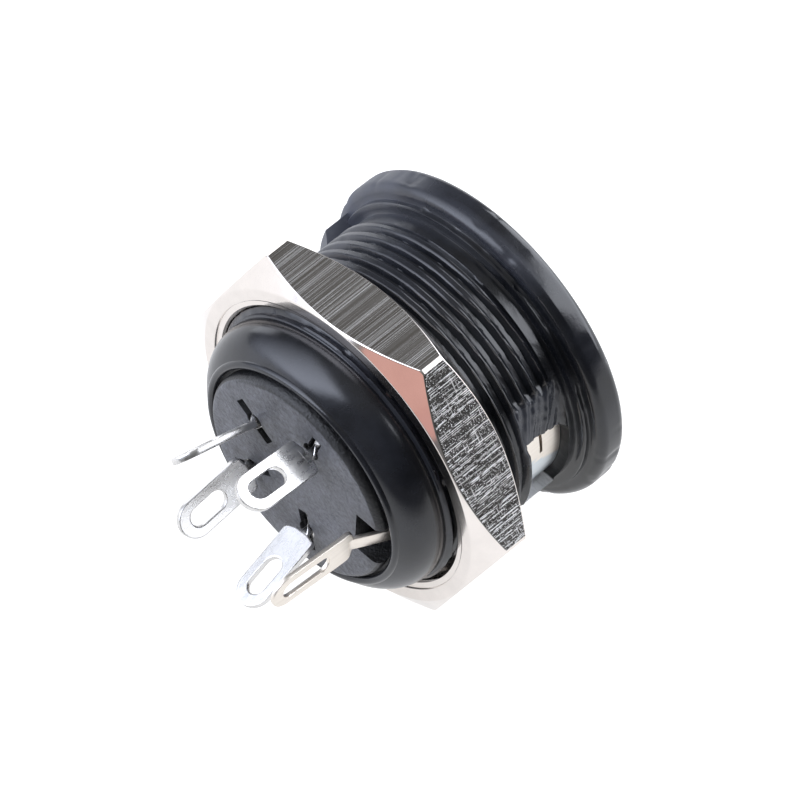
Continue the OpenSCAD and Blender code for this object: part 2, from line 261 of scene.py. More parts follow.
def pour(part, bm, to_world=None):
    """Turns a bmesh's normals outward, places it, and moves it into another that is in metres."""
    bmesh.ops.recalc_face_normals(part, faces=part.faces)
    if to_world:
        part.transform(to_world)
    part.transform(Matrix.Scale(MM, 4))
    mesh = to_mesh(part, "pour")
    bm.from_mesh(mesh)
    bpy.data.meshes.remove(mesh)


def prism(bm, outline, z0, z1, to_world, bevel):
    """Adds an outline in millimetres, pushed along local Z from z0 to z1, with its edges rounded."""
    part = bmesh.new()
    face = part.faces.new([part.verts.new((x, y, z0)) for x, y in outline])
    grown = bmesh.ops.extrude_face_region(part, geom=[face])["geom"]
    top = [v for v in grown if isinstance(v, bmesh.types.BMVert)]
    bmesh.ops.translate(part, vec=(0, 0, z1 - z0), verts=top)
    bmesh.ops.recalc_face_normals(part, faces=part.faces)
    round_edges(part, 30, bevel)
    pour(part, bm, to_world)


def key_frame(turn):
    """Matrix from the source's upright modelling axes to the lying part, turned from the key side."""
    lie, spin = math.radians(-90), math.radians(turn - KEY_TURN)
    return Matrix.Rotation(lie, 4, "X") @ Matrix.Rotation(spin, 4, "Z")


def tilt(about_y, about_x):
    """Matrix of a turn about X and then about Y, in degrees."""
    return Matrix.Rotation(math.radians(about_y), 4, "Y") @ Matrix.Rotation(math.radians(about_x), 4, "X")


# Materials


def add_node(tree, kind, sockets=(), out=0, **settings):
    """Adds one shader node with its settings, and values or links by its sockets' names or order.

    Gives one of its outputs. A MapRange takes its value, the ends of its range, and the ends it maps to.
    """
    n = tree.nodes.new("ShaderNode" + kind)
    for key, value in settings.items():
        setattr(n, key, value)
    for key, value in sockets.items() if isinstance(sockets, dict) else enumerate(sockets):
        if isinstance(value, bpy.types.NodeSocket):
            tree.links.new(value, n.inputs[key])
        else:
            n.inputs[key].default_value = value
    return n.outputs[out]


def new_material(name, **sockets):
    """A material with one Principled shader whose constants are set on its own sockets."""
    m = bpy.data.materials.new(name)
    m.use_nodes = True
    shader = m.node_tree.nodes["Principled BSDF"]
    for key, value in sockets.items():
        shader.inputs[key].default_value = value
    return m, m.node_tree, shader


def grain(t, place, size, stretch=(1, 1, 1), detail=3.0, low=0.3, high=0.7, unit=1000):
    """Noise of about size millimetres, drawn out along some axes, from 0 at low to 1 at high.

    The place's own unit is that many millimetres long.
    """
    scale = [unit / size / s for s in stretch]
    scaled = add_node(t, "Mapping", {"Vector": place, "Scale": scale})
    noisy = {"Vector": scaled, "Scale": 1.0, "Detail": detail, "Roughness": 0.6}
    field = add_node(t, "TexNoise", noisy, "Fac")
    return add_node(t, "MapRange", (field, low, high))


def dress(t, shader, tone, colours, rough, height, distance):
    """Lets a tone from 0 to 1 set the shader's colour and roughness, and a height its bump in metres.

    Gives the colour's socket.
    """
    first, last = ((*c, 1) for c in colours)
    shade = add_node(t, "Mix", {0: tone, 6: first, 7: last}, 2, data_type="RGBA")
    gloss = add_node(t, "MapRange", (tone, 0, 1, *rough))
    bump = add_node(t, "Bump", {"Strength": 1.0, "Distance": distance, "Height": height})
    t.links.new(shade, shader.inputs["Base Color"])
    t.links.new(gloss, shader.inputs["Roughness"])
    t.links.new(bump, shader.inputs["Normal"])
    return shade


def moulded_abs(colour):
    """ABS, injection moulded in a polished tool: near black, wet gloss with a slight ripple.

    It is dull and greyer where the tool was unpolished, cut or worn, and where the painted light meant for
    the window's far wall reaches.
    """
    m, t, shader = new_material("ABS_moulded_gloss_black", IOR=1.53)
    place = add_node(t, "TexCoord", out="Object")
    dull = add_node(t, "Attribute", out="Fac", attribute_name="dull")
    # flow ripple of 1.2 mm, a sink texture of 0.13 mm that frays reflections, and handling haze of 3 mm
    ripple = grain(t, place, 1.2, low=0, high=1)
    fine = grain(t, place, 0.13, detail=2.0, low=0, high=1)
    haze = grain(t, place, 3.0, detail=5.0)
    height = add_node(t, "Math", (ripple, 3.0, fine), operation="MULTIPLY_ADD")
    tone = add_node(t, "Math", (haze, 0.18, dull), operation="MULTIPLY_ADD")
    dress(t, shader, tone, (colour, linear("#4d505a")), (0.12, 0.6), height, 0.0000028)
    return m


def sheared_abs(colour):
    """ABS, torn off at the gate: dull black, with painted light on the window's far wall, paled as if lit.
    """
    m, t, shader = new_material("ABS_sheared_dull_black", IOR=1.53)
    place = add_node(t, "TexCoord", out="Object")
    pale = add_node(t, "Attribute", out="Fac", attribute_name="dull")
    # torn fibres of 0.15 mm, four times as long through the wall
    fibres = grain(t, place, 0.15, stretch=(4, 1, 1))
    tone = add_node(t, "Math", (fibres, 0.4), operation="MULTIPLY")
    # painted light: the window's far wall is paled towards white, as if lit
    tone = add_node(t, "Math", (pale, 0.8, tone), operation="MULTIPLY_ADD")
    tone = add_node(t, "Math", (tone, pale), operation="MULTIPLY")
    dress(t, shader, tone, (colour, linear("#f0f0f1")), (0.7, 0.8), fibres, 0.00001)
    return m


def filled_insert(colour):
    """Glass-filled PBT, moulded in a spark-eroded tool: matte charcoal with a fine even grain, and painted
    shade on one side of its rim and in its slots.
    """
    m, t, shader = new_material("PBT_moulded_matte_charcoal", IOR=1.55)
    place = add_node(t, "TexCoord", out="Object")
    # eroded grain, drawn 0.2 mm coarse so that it shows, under clouds of 2 mm
    fine = grain(t, place, 0.2, detail=4.0, low=0.25, high=0.75)
    cloud = grain(t, place, 2.0)
    cloud = add_node(t, "Math", (cloud, 0.3), operation="MULTIPLY")
    tone = add_node(t, "Math", (fine, 0.7, cloud), operation="MULTIPLY_ADD")
    # painted shade: a ragged dark rim at the face's edge on the side facing the dark part of the room, and
    # dark slots and sides below the face
    flat = add_node(t, "VectorMath", (place, (1000, 0, 1000)), operation="MULTIPLY")
    wide = add_node(t, "VectorMath", [flat], "Value", operation="LENGTH")
    wide = add_node(t, "Math", (cloud, 0.5, wide), operation="MULTIPLY_ADD")
    rim = add_node(t, "MapRange", (wide, 6.68, 6.8))
    # painted shade, strongest along the side of the rim that faces the dark part of the room
    worn = add_node(t, "VectorMath", (flat, (-0.5, 0, 0.87)), "Value", operation="DOT_PRODUCT")
    worn = add_node(t, "MapRange", (worn, 1.0, 4.5))
    rim = add_node(t, "Math", (rim, worn), operation="MULTIPLY")
    deep = add_node(t, "Attribute", out="Fac", attribute_name="deep")
    deep = add_node(t, "Math", (rim, deep), operation="MAXIMUM")
    light = add_node(t, "Math", (1.0, deep), operation="SUBTRACT")
    tone = add_node(t, "Math", (tone, light), operation="MULTIPLY")
    shades = [c * 0.15 for c in colour], [c * 2.9 for c in colour]
    dress(t, shader, tone, shades, (0.42, 0.5), fine, 0.00004)
    return m


def tinned_brass(colour):
    """Brass strip, stamped and hot tinned: bright white metal, a soft mirror with pits and wipe marks."""
    m, t, shader = new_material("Brass_stamped_tinned", Metallic=1.0)
    place = add_node(t, "TexCoord", out="Object")
    # wipe marks 0.35 mm wide and four times as long, pits of 0.1 mm
    marks = grain(t, place, 0.35, stretch=(1, 4, 1))
    pits = grain(t, place, 0.1, detail=2.0, low=0, high=1)
    height = add_node(t, "Math", (marks, 0.5, pits), operation="MULTIPLY_ADD")
    dress(t, shader, marks, (linear("#d0cfcd"), colour), (0.22, 0.34), height, 0.000003)
    return m


def plated_shield(colour):
    """Brass sheet, drawn and tin plated: creamy white metal with fine draw lines along the tube, and a
    painted reflection of shaded floor on the latch pad's lower half.
    """
    m, t, shader = new_material("Brass_drawn_plated", Metallic=1.0)
    place = add_node(t, "TexCoord", out="Object")
    # draw lines 0.2 mm wide and 3 mm long
    lines = grain(t, place, 0.2, stretch=(1, 16, 1), detail=4.0)
    plate = dress(t, shader, lines, (linear("#e6ddd2"), colour), (0.3, 0.42), lines, 0.0000015)
    # painted reflection: the latch pad's lower half is painted bluish grey, for the floor in the flange's
    # shade that it mirrors
    bare = add_node(t, "Attribute", out="Fac", attribute_name="bare")
    shade = add_node(t, "Mix", {0: bare, 6: plate, 7: (*linear("#d0d6da"), 1)}, 2, data_type="RGBA")
    t.links.new(shade, shader.inputs["Base Color"])
    return m


def polished_nickel(colour):
    """Brass, turned and nickel plated: warm mirror with a faint haze and a few handling marks."""
    m, t, shader = new_material("Brass_turned_nickel_plated", Metallic=1.0)
    place = add_node(t, "TexCoord", out="Object")
    # clouds of haze of 1.5 mm, marks of 0.4 mm
    haze = grain(t, place, 1.5, detail=4.0)
    marks = grain(t, place, 0.4, low=0, high=1)
    dress(t, shader, haze, ([c * 0.93 for c in colour], colour), (0.06, 0.13), marks, 0.0000008)
    return m


def drawn_nickel(colour):
    """Hexagon bar, drawn through a die and nickel plated: dark mirror, scored along the axis."""
    m, t, shader = new_material("Brass_drawn_nickel_plated", Metallic=1.0)
    flat = add_node(t, "UVMap", uv_map="flat_mm")
    worn = add_node(t, "Attribute", out="Fac", attribute_name="worn")
    along, over = (1, 500, 1), (500, 1, 1)
    # draw lines over the whole flat, drawn 0.07 mm coarse so that they show, in bands of 0.4 mm, and
    # weaker on a worn flat
    lines = grain(t, flat, 0.07, along, low=0.38, high=0.64, unit=1)
    bands = grain(t, flat, 0.4, (1, 60, 1), low=0.35, high=0.65, unit=1)
    bands = add_node(t, "MapRange", (bands, 0, 1, 0.5, 0.9))
    scored = add_node(t, "Math", (lines, bands), operation="MULTIPLY")
    bare = add_node(t, "MapRange", (worn, 0, 1, 1.0, 0.35))
    scored = add_node(t, "Math", (scored, bare), operation="MULTIPLY")
    # on a worn flat broken lines of 0.085 mm, scuffs of 0.12 mm across them in patches, and 0.09 mm specks
    dashes = grain(t, flat, 0.085, along, 1.0, 0.52, 0.6, unit=1)
    breaks = grain(t, flat, 0.13, (1, 5, 1), 2.0, 0.42, 0.52, unit=1)
    across = grain(t, flat, 0.12, over, 1.0, 0.52, 0.62, unit=1)
    specks = grain(t, flat, 0.09, detail=1.0, low=0.62, high=0.69, unit=1)
    fading = grain(t, flat, 1.4, detail=2.0, low=0.4, high=0.62, unit=1)
    across = add_node(t, "Math", (across, fading), operation="MULTIPLY")
    across = add_node(t, "Math", (across, 0.6), operation="MULTIPLY")
    scuffs = add_node(t, "Math", (across, specks), operation="MAXIMUM")
    handled = add_node(t, "Math", (dashes, breaks), operation="MULTIPLY")
    handled = add_node(t, "Math", (handled, scuffs), operation="MAXIMUM")
    handled = add_node(t, "Math", (handled, worn), operation="MULTIPLY")
    scored = add_node(t, "Math", (scored, handled), operation="MAXIMUM")
    grey = sum(colour) / 3
    shades = [c * 0.45 for c in colour], [grey * 0.95] * 3
    dress(t, shader, scored, shades, (0.1, 0.54), scored, 0.000003)
    return m


def opal_acrylic(colour, glow, towards):
    """Acrylic sheet, cast opal and lit from below as a light table: plain white, without a mirror image.

    In what the part reflects, it is dim beyond 6 cm in one direction, towards the dark side of the room.
    """
    m, t, shader = new_material("Acrylic_opal_white", Roughness=0.9)
    place = add_node(t, "TexCoord", out="Object")
    near = add_node(t, "VectorMath", (place, towards), "Value", operation="DOT_PRODUCT")
    lit = add_node(t, "MapRange", (near, 0.035, 0.06, 0.8, 0.08))
    # faint cloudiness of 0.8 mm
    cloud = grain(t, place, 0.8, detail=2.0)
    shades = {0: cloud, 6: (*[c * 0.97 for c in colour], 1), 7: (*colour, 1)}
    tone = add_node(t, "Mix", shades, 2, data_type="RGBA")
    tone = add_node(t, "VectorMath", {0: tone, "Scale": lit}, operation="SCALE")
    tone = add_node(t, "VectorMath", {0: tone, "Scale": 0.4}, operation="SCALE")
    t.links.new(tone, shader.inputs["Base Color"])
    seen = add_node(t, "LightPath", out="Is Camera Ray")
    level = add_node(t, "Math", (lit, glow), operation="MULTIPLY")
    level = add_node(t, "Math", (level, seen), operation="MAXIMUM")
    light = add_node(t, "Emission", ((1, 1, 1, 1), level))
    both = add_node(t, "AddShader", (shader.outputs[0], light))
    t.links.new(both, t.nodes["Material Output"].inputs["Surface"])
    return m


# Shapes


def tooth(phase, crest, flank, blunt=0.0, seam=0.0):
    """Height from 0 to 1 of a thread's tooth, at phases counted in turns, with a seam along its flat top.

    Its top corners are blunted from a place that far before them, at a third of the flank's slope.
    """
    off = np.abs((phase + 0.5) % 1 - 0.5)
    top = np.minimum((crest / 2 + flank - off) / flank, 1 - (off - crest / 2 + blunt) / (3 * flank))
    return np.clip(top, 0, 1) - seam * np.clip(1 - off / (crest * 0.42), 0, 1)


def ripple(x, y, z):
    """Smooth noise from -1 to 1 at arrays of places in millimetres."""
    x, y, z = np.broadcast_arrays(x, y, z)
    return np.array([noise.noise(p) for p in zip(x.flat, y.flat, z.flat)]).reshape(x.shape)


def ramp(value, start, end):
    """Smooth step from 0 at start to 1 at end."""
    f = np.clip((value - start) / (end - start), 0, 1)
    return f * f * (3 - 2 * f)


def span(value, start, rise, end, fall):
    """Smooth step up from 0 after start, and down again to 0 before end."""
    return ramp(value, start, start + rise) * ramp(end - value, 0, fall)


def off_rib(turn):
    """Degrees from the rib's middle."""
    return np.abs((turn - RIB_TURN + 180) % 360 - 180)


def barrel_path():
    """Half section of the housing as (radius, y), from the plug mouth around the outside and back inside.

    Also gives the count of its places that are outside.
    """
    front, knee = FLANGE_FRONT, FLANGE_R - FLANGE_ROUND
    # mouth, flange with both edges rounded, collar and neck
    path = [(SHIELD_IN, -1.5), (7.13, -1.93), (7.19, -1.985), (7.27, front), (8.2, front), (NECK_R, front)]
    path += arc(knee, front + FLANGE_ROUND, FLANGE_ROUND, -90, 0, 9)
    path += [(FLANGE_R, front / 2)]
    path += arc(knee, -FLANGE_ROUND, FLANGE_ROUND, 0, 90, 9)
    path += [(10.12, 0.0), (10.03, 0.03), (COLLAR_R, 0.1), (COLLAR_R, 0.25), (COLLAR_R, 0.36)]
    path += [(9.97, 0.43), (9.9, COLLAR_END), (9.62, COLLAR_END), (9.42, 0.455)]
    path += [(9.33, 0.49), (NECK_R, 0.58)]
    path += [(NECK_R, y) for y in np.arange(0.7, 1.35, 0.1)]
    # thread, with fine rows where it shows and coarse ones under the nut
    path += [(THREAD_R, y) for y in np.arange(THREAD_START, NUT_START, ROW_STEP)]
    path += [(THREAD_R, y) for y in np.linspace(NUT_START, THREAD_END, 40)]
    # dome and bead
    path += [(9.12, 10.81), (DOME_R - 0.03, 10.86), (DOME_R, 10.95), (DOME_R, 11.2)]
    path += arc(DOME_R - DOME_ROUND, DOME_END - DOME_ROUND, DOME_ROUND, 0, 65.5, 26)
    path += arc(BEAD_R, BEAD_Y, BEAD_ROUND, 8, 180, 12)
    outer = len(path) - 1
    # seat of the insert's disc, and bore for the shield
    path += [(BEAD_R - BEAD_ROUND, SEAT_END), (SEAT_R, SEAT_END), (SEAT_R, DISC_START)]
    path += [(SHIELD_BORE, y) for y in (DISC_START, 8.0, 5.0, 2.0, SHIELD_START)]
    path += [(SHIELD_IN, SHIELD_START)]
    return np.array(path), outer


def barrel_turns(columns):
    """Angles of the barrel's columns, which are evenly spread but for the rib's sides."""
    foot = RIB_HALF + COLUMN_GAP
    kept = [(RIB_TURN + d) % 360 for d in (-foot, -RIB_HALF, RIB_HALF, foot)]
    even = np.linspace(0, 360, columns, endpoint=False)
    return np.sort([*(t for t in even if min(abs(t - k) for k in kept) > COLUMN_GAP), *kept])


def barrel_thread(y, a, pitch, wobble, step):
    """Radius of the barrel's right-hand thread, and y moved by up to half a row onto its teeth's corners.

    The mould's two halves shaped the crests differently: worn is 1 on the half with wide, soft crests.
    """
    worn = 1 - ramp(a, PARTING - 6, PARTING + 6) + ramp(a, PARTING + 174, PARTING + 186)
    crest, depth, blunt = 0.16 + 0.24 * worn, THREAD_DEEP - 0.12 * worn, 0.015 + 0.045 * worn
    flank = depth * math.tan(math.radians(30))
    rise = pitch * a / 360 - THREAD_PHASE + (0.35 + 0.65 * worn) * wobble
    off = (y + rise + pitch / 2) % pitch - pitch / 2
    for corner in (crest / 2 - blunt, crest / 2 + blunt / 2, crest / 2 + flank):
        for gap in (corner - off, -corner - off):
            y = np.where(np.abs(gap) < step / 2, y + gap, y)
    top = tooth((y + rise) / pitch, crest / pitch, flank / pitch, blunt / pitch, 0.09 * (1 - worn))
    # both ends taper off
    cone = THREAD_R - 0.3 + np.minimum(y - THREAD_START, THREAD_END - y)
    radius = np.minimum(THREAD_R - depth + depth * top, cone)
    return np.maximum(radius, THREAD_R - THREAD_DEEP), y


def torn_edge(y):
    """Distance of the flash's torn edge from the window's middle, at y along the barrel."""
    return np.interp(y, (WINDOW_LOW, WINDOW_HIGH), (TORN_LOW, TORN_HIGH))


def barrel_form(sizes):
    """Places of the barrel's mesh, by rows along its half section and columns around it."""
    path, outer = barrel_path()
    a, y = np.meshgrid(barrel_turns(sizes.columns), path[:, 1])
    r = np.repeat(path[:, :1], a.shape[1], axis=1)
    outside = np.arange(len(path))[:, None] < outer
    x, z = r * np.cos(np.radians(a)), r * np.sin(np.radians(a))

    # uneven moulding: crests that wander and are rough
    threaded = outside & (np.abs(r - THREAD_R) < SAME)
    fine = ripple(x * 1.1, y * 1.1, z * 1.1) + 0.6 * ripple(x * 3.7, y * 3.7, z * 3.7)
    wobble = 0.03 * ripple(x * 1.1, y * 0.8, z * 1.1) + 0.006 * ripple(x * 4, y * 2, z * 4)
    step = np.where(y < NUT_START, ROW_STEP, HIDDEN_STEP)
    thread_r, thread_y = barrel_thread(y, a, sizes.pitch / MM, wobble, step)
    r = np.where(threaded, thread_r + fine * sizes.ripple / MM, r)
    y = np.where(threaded & (y > THREAD_START + 0.01) & (y < THREAD_END - 0.06), thread_y, y)

    # a dented rim with one blob on the collar, and an uneven neck
    rim = outside & (y > FLANGE_FRONT + 0.1) & (y < 0.3)
    hollows = ramp(ripple(x * 1.3, y * 0.5, z * 1.3), 0.25, 0.6)
    dents = 0.5 * ripple(x * 0.6, y * 0.6, z * 0.6) - 1.6 * hollows
    blob_turn, blob_y = 73, 0.02
    blob = 0.09 * np.exp(-(((a - blob_turn) / 1.1) ** 2) - ((y - blob_y) / 0.16) ** 2) * (1 + fine)
    r = np.where(rim, r + dents * sizes.dents / MM + blob, r)
    neck = outside & (y > 0.3) & (y < THREAD_START - 0.02)
    r = np.where(neck, r + 0.012 * ripple(x * 2.1, y * 2.1, z * 2.1), r)

    # rib that stops the socket turning in the panel
    height = (RIB_R - THREAD_R) * np.clip((RIB_END - y) / RIB_SLOPE, 0, 1)
    top = np.where(outside & (y > -0.01) & (y < RIB_END), THREAD_R + height, 0)
    r = np.where(off_rib(a) <= RIB_HALF + SAME, np.maximum(r, top), r)

    # flash left across the window's upper end: it sags to a torn edge, in strings, most at the front
    flash_end = KEY_TURN + np.degrees(np.arcsin(torn_edge(y) / TORN_R))
    reach = (a - FLASH_START) / (flash_end - FLASH_START)
    sag = span(reach, 0.0, 0.16, 1.25, 0.05) * span(y, WINDOW_LOW, 0.15, WINDOW_HIGH + 0.3, 0.22) * outside
    arcs = np.radians(a) * THREAD_R
    strings = ripple(arcs * 0.45 - y * 0.2, y * 2.3 - arcs * 0.65, 3.0)
    strings = strings + 0.6 * ripple(arcs * 2.6 + y, y * 0.8, 9.0)
    sink = np.interp(y, (WINDOW_LOW, WINDOW_HIGH), (0.7, 0.1))
    level = FLASH_R - sink * np.clip(reach, 0, 1.2) ** 1.3 + 0.14 * strings
    r = r + (level - r) * sag

    # the thread also runs out smoothly beyond the window's other end
    plain = span(a, PLAIN_START, 3, PLAIN_END, 7) * span(y, WINDOW_LOW, 0.3, WINDOW_HIGH + 0.6, 0.4)
    r = r + (PLAIN_R + 0.03 * strings - r) * plain * threaded
    return np.stack([r * np.cos(np.radians(a)), y, r * np.sin(np.radians(a))], axis=-1)


def barrel_dullness_and_painted_light(co):
    """How dull the moulding is at places in millimetres, from 0 where the tool was polished, with painted
    light on the window's far wall.
    """
    turn = np.degrees(np.arctan2(co[:, 2], co[:, 0])) % 360
    wide, along = np.hypot(co[:, 0], co[:, 2]), co[:, 1]
    # no polish on the thread's end ring, in the bore, and on half of the mould, most on the flange
    ring = span(along, 10.35, 0.1, 10.9, 0.05) * (wide > 8.9)
    bore = wide < 7.2
    half = np.maximum(ramp(PARTING - 14 - turn, 0, 75), ramp(turn, 292, 310)) * (along < NUT_START)
    cloud = 1 + 0.5 * ripple(co[:, 0] * 0.5, along * 0.5, co[:, 2] * 0.5)
    half = half * cloud * (1 + 0.7 * (along < 0.05))
    # torn flash, painted light on the window's far wall, paled as if lit, and a dusty rib
    torn = span(along, WINDOW_LOW, 0.3, 4.8, 0.3) * ramp(turn, FLASH_START, FLASH_START + 3)
    torn = torn * (turn < KEY_TURN - 8)
    around = co @ np.array(key_axes()[1])
    pale = (around > WINDOW_SIDE - 0.9) * (turn > KEY_TURN) * (wide < 9.6)
    pale = pale * (along > WINDOW_LOW + 0.4) * (along < WINDOW_HIGH + 0.01)
    ribbed = (wide > THREAD_R + 0.02) * (along > 0.02) * (along < RIB_END + 0.1)
    ribbed = ribbed * (off_rib(turn) <= RIB_HALF + 0.1)
    # a little wear on the dome and on the flange's rear edge
    dome = along > 10.9
    edge = span(turn, 40, 30, 128, 15) * (np.abs(along + FLANGE_ROUND / 2) < 0.31) * (wide > 10.2)
    shares = (0.2, ring), (0.6, bore), (0.5, half), (0.22, torn), (1.0, pale), (0.6, ribbed), (0.05, dome)
    levels = [share * place for share, place in (*shares, (0.22, edge))]
    return np.minimum(np.maximum.reduce(levels), 1.0)


def window_cutter():
    """Solid that cuts the lock window, with a ragged edge where moulding flash is left across it."""
    w, low, high, r = WINDOW_SIDE, WINDOW_LOW, WINDOW_HIGH, WINDOW_ROUND
    rng = np.random.default_rng(4)
    outline = arc(w - r, high - r, r, 0, 90, 8)
    outline += [(torn_edge(y) + rng.normal(0, 0.035), y) for y in np.linspace(high, low, 26)]
    outline += arc(w - r, low + r, r, 270, 360, 8)
    out, around = key_axes()
    bm = bmesh.new()
    ends = []
    for d in (SHIELD_IN - 0.8, FLANGE_R + 1.0):
        ends.append([bm.verts.new((out * d + around * x + Vector((0, y, 0))) * MM) for x, y in outline])
    for end in ends:
        bm.faces.new(end)
    skin(bm, ends, closed=False)
    bmesh.ops.recalc_face_normals(bm, faces=bm.faces)
    for f in bm.faces:
        f.material_index = 1
    return to_mesh(bm, "window")


def cut_away(mesh, cutter):
    """The mesh with the cutter's solid taken out of it."""
    pair = [add_object(m.name, m) for m in (mesh, cutter)]
    mod = pair[0].modifiers.new("cut", "BOOLEAN")
    mod.operation, mod.solver, mod.object = "DIFFERENCE", "EXACT", pair[1]
    bpy.context.view_layer.update()
    done = bpy.data.meshes.new_from_object(pair[0].evaluated_get(bpy.context.evaluated_depsgraph_get()))
    for obj in pair:
        bpy.data.objects.remove(obj)
    if len(done.vertices) < len(mesh.vertices) // 2:
        raise RuntimeError("the window cut lost the barrel")
    return done


class SOCKET_OT_barrel(bpy.types.Operator):
    """Builds the moulded barrel with its thread, rib, dome, bead and lock window"""

    bl_idname = "socket.barrel"
    bl_label = "Barrel"

    def execute(self, context):
        co = barrel_form(context.scene.socket_sizes)
        mesh = cut_away(grid_mesh("barrel", co), window_cutter())
        colour = tuple(context.scene.socket_colours.barrel)
        piece("barrel", mesh, "socket", ["housing"],
              [moulded_abs(colour), sheared_abs(colour)], sharp=42)
        # dullness of the moulding, with painted light on the window's far wall
        dull = barrel_dullness_and_painted_light(np.array([v.co / MM for v in mesh.vertices])).astype(np.float32)
        mesh.attributes.new("dull", "FLOAT", "POINT").data.foreach_set("value", dull)
        return {"FINISHED"}


def nut_radius(turn, corner):
    """Distance from the axis to the hexagon at an angle, with its corners blunted."""
    off = (turn + 30) % 60 - 30
    flat = NUT_R / math.cos(math.radians(30 - abs(off)))
    blunt = NUT_CORNER - corner / (2 * math.tan(math.radians(60)))
    return min(flat, blunt / math.cos(math.radians(off)))


def nut_end(hexagon, rim):
    """Rings of one end of the nut, from its countersink out to the flats, as (radius, depth)."""
    face_r = NUT_R - 0.1
    slope = NUT_CHAMFER / (NUT_CORNER - face_r)
    width = hexagon - face_r
    near, far = np.minimum(rim * 0.4, width * 0.15), np.minimum(rim, width * 0.3)
    hold = np.minimum(0.04, width * 0.1)
    # shallow step at the bore, then the flat end face
    step = [(-0.42, 0.2), (-0.38, 0.16), (-0.07, 0.16), (-0.03, 0.14)]
    step += [(-0.01, 0.06), (0.01, 0.02), (0.06, 0), (0.1, 0)]
    rings = [(NUT_SINK + r, d) for r, d in step]
    rings += [(face_r - 0.09, 0), (face_r - 0.03, 0)]
    for r in (face_r + near, face_r + near + hold, hexagon - far - hold, hexagon - far):
        rings.append((r, (r - face_r) * slope))
    # round over the edge between the chamfer and the flat
    start, corner = (hexagon - far, (width - far) * slope), (hexagon, width * slope)
    end = (hexagon, width * slope + far)
    for f in (0.33, 0.67):
        shares = (1 - f) ** 2, 2 * f * (1 - f), f * f
        rings.append([sum(s * p for s, p in zip(shares, places)) for places in zip(start, corner, end)])
    return rings + [end, (hexagon, width * slope + far + 0.04)]


def nut_form(sizes, edge):
    """Places of the nut's mesh, by rows around its section and columns around its axis."""
    pitch, corner = sizes.pitch / MM, sizes.corner / MM
    columns = [-edge, edge, 0, *np.linspace(edge + 0.4, 60 - edge - 0.4, 34)]
    turns = np.array(sorted({round((60 * k + d) % 360, 4) for k in range(6) for d in columns}))
    hexagon = np.array([nut_radius(t, corner) for t in turns])
    end = nut_end(hexagon, sizes.rim / MM)
    rows = [(r, NUT_START + d) for r, d in end]
    rows += [(r, NUT_END - d) for r, d in end[::-1]]
    # inner thread in step with the barrel's, opened by the countersinks
    deep = NUT_MAJOR - NUT_MINOR
    flank = deep * math.tan(math.radians(30))
    for y in np.arange(NUT_END - 0.24, NUT_START + 0.22, -0.04):
        phase = (y + pitch * turns / 360 - THREAD_PHASE) / pitch + 0.5
        thread = NUT_MAJOR - deep * tooth(phase, 0.1 / pitch, flank / pitch)
        rows.append((np.maximum(thread, NUT_SINK - 0.22 - min(NUT_END - y, y - NUT_START)), y))
    rad = np.radians(turns)
    co = [[r * np.cos(rad), y + 0 * rad, r * np.sin(rad)] for r, y in rows]
    return np.array(co).transpose(0, 2, 1)


class SOCKET_OT_nut(bpy.types.Operator):
    """Builds the hexagonal clamp nut with its chamfers, countersinks and inner thread"""

    bl_idname = "socket.nut"
    bl_label = "Clamp Nut"

    def execute(self, context):
        sizes = context.scene.socket_sizes
        edge = math.degrees(sizes.corner / MM / 2 / NUT_CORNER)
        mesh = grid_mesh("nut", nut_form(sizes, edge))
        colour = tuple(context.scene.socket_colours.nickel)
        piece("clamp_nut", mesh, "nut", ["hex_nut"],
              [polished_nickel(colour), drawn_nickel(colour)], sharp=24)
        # the six drawn flats get their own finish, wear, and a map in millimetres across and along the
        # bar, shifted from flat to flat so that no two are alike
        shift = 31.7
        uv = mesh.uv_layers.new(name="flat_mm")
        worn = mesh.attributes.new("worn", "FLOAT", "FACE")
        for f in mesh.polygons:
            mid = f.center / MM
            turn = math.degrees(math.atan2(mid.z, mid.x)) % 360
            side = int(turn // 60)
            blunt = abs((turn + 30) % 60 - 30) < edge
            outer = math.hypot(mid.x, mid.z) > NUT_R - 0.05
            f.material_index = 1 if outer and abs(f.normal.y) < 0.02 and not blunt else 0
            worn.data[f.index].value = FLAT_WEAR[side]
            across = point(1, 0, 60 * side + 120) / MM
            for k in f.loop_indices:
                p = mesh.vertices[mesh.loops[k].vertex_index].co / MM
                uv.data[k].uv = (p.dot(across) + shift * side, p.y)
        return {"FINISHED"}


class SOCKET_OT_insert(bpy.types.Operator):
    """Builds the terminal insert: the CAD solid with softened edges"""

    bl_idname = "socket.insert"
    bl_label = "Terminal Insert"

    def execute(self, context):
        bm = bmesh.new()
        bm.from_mesh(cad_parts["insulator"].data)
        bmesh.ops.remove_doubles(bm, verts=bm.verts, dist=1e-7)
        bmesh.ops.dissolve_limit(bm, angle_limit=math.radians(0.5), verts=bm.verts, edges=bm.edges)
        round_edges(bm, 30, 0.05 * MM)
        mesh = to_mesh(bm, "insulator")
        mesh.materials.clear()
        # painted shade: faces below the insert's face, in its slots and on its sides, are marked to be
        # darkened
        deep = mesh.attributes.new("deep", "FLOAT", "FACE")
        for f in mesh.polygons:
            deep.data[f.index].value = float(f.center.y < (FACE_END - 0.12) * MM)
        piece("terminal_insert", mesh, "socket", ["insulator"],
              [filled_insert(tuple(context.scene.socket_colours.insert))])
        return {"FINISHED"}


def outline_hit(polygon, start, direction):
    """Distance from a place inside an outline to the outline, along a direction."""
    p = np.array(polygon) - start
    side = np.roll(p, -1, axis=0) - p
    det = direction[0] * side[:, 1] - direction[1] * side[:, 0]
    det = np.where(np.abs(det) < 1e-12, np.nan, det)
    d = (p[:, 0] * side[:, 1] - p[:, 1] * side[:, 0]) / det
    k = (p[:, 0] * direction[1] - p[:, 1] * direction[0]) / det
    return d[(k >= -1e-9) & (k <= 1 + 1e-9) & (d > 0)].min()


